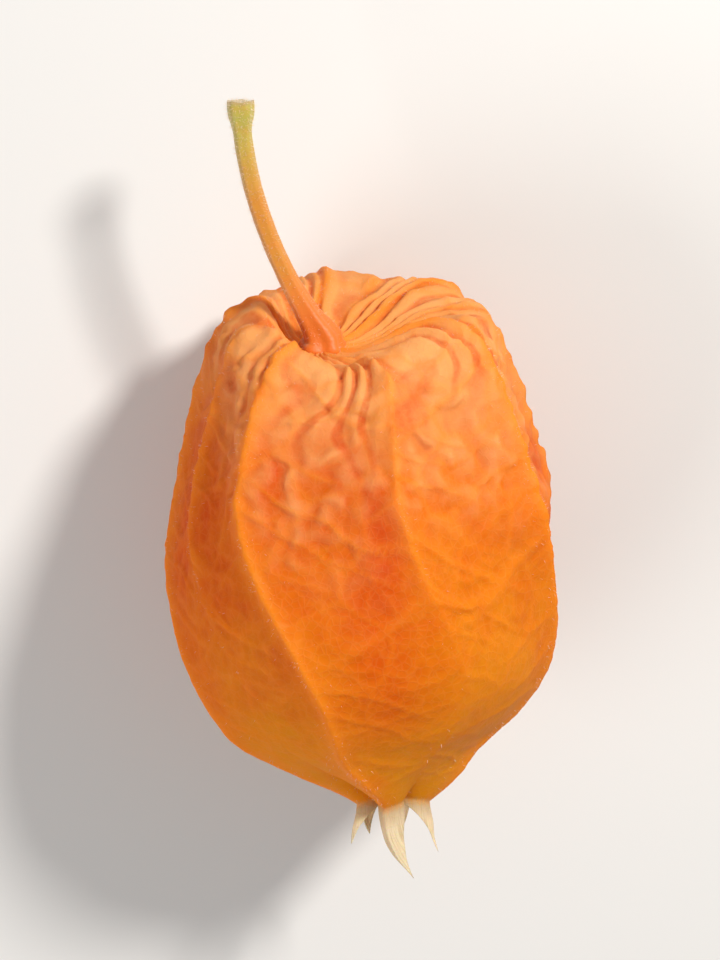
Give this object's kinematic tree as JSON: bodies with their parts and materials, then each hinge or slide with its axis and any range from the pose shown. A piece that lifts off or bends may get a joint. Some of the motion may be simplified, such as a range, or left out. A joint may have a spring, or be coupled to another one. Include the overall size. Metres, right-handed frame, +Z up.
{
  "type": "physalis fruit",
  "caption": "Orange papery lantern husk of a physalis, ribbed and netted, lying on its side with its curved stalk, its dry lobe tips and the round glossy berry inside.",
  "frame": {"origin": "centre of the bounding box, on the surface that the husk lies on", "axes": "+Y towards the picked end of the stalk, -Y towards the husk's tip, +Z up"},
  "size_m": [0.0374, 0.0742, 0.0357],
  "materials": {
    "husk": "matt, veined, slightly see-through orange paper",
    "stalk": "satin, finely hairy green-orange stalk",
    "berry": "glossy orange-red skin"
  },
  "bodies": {
    "root": {"husk": "husk", "stalk": "stalk", "berry": "berry"}
  },
  "joints": []
}
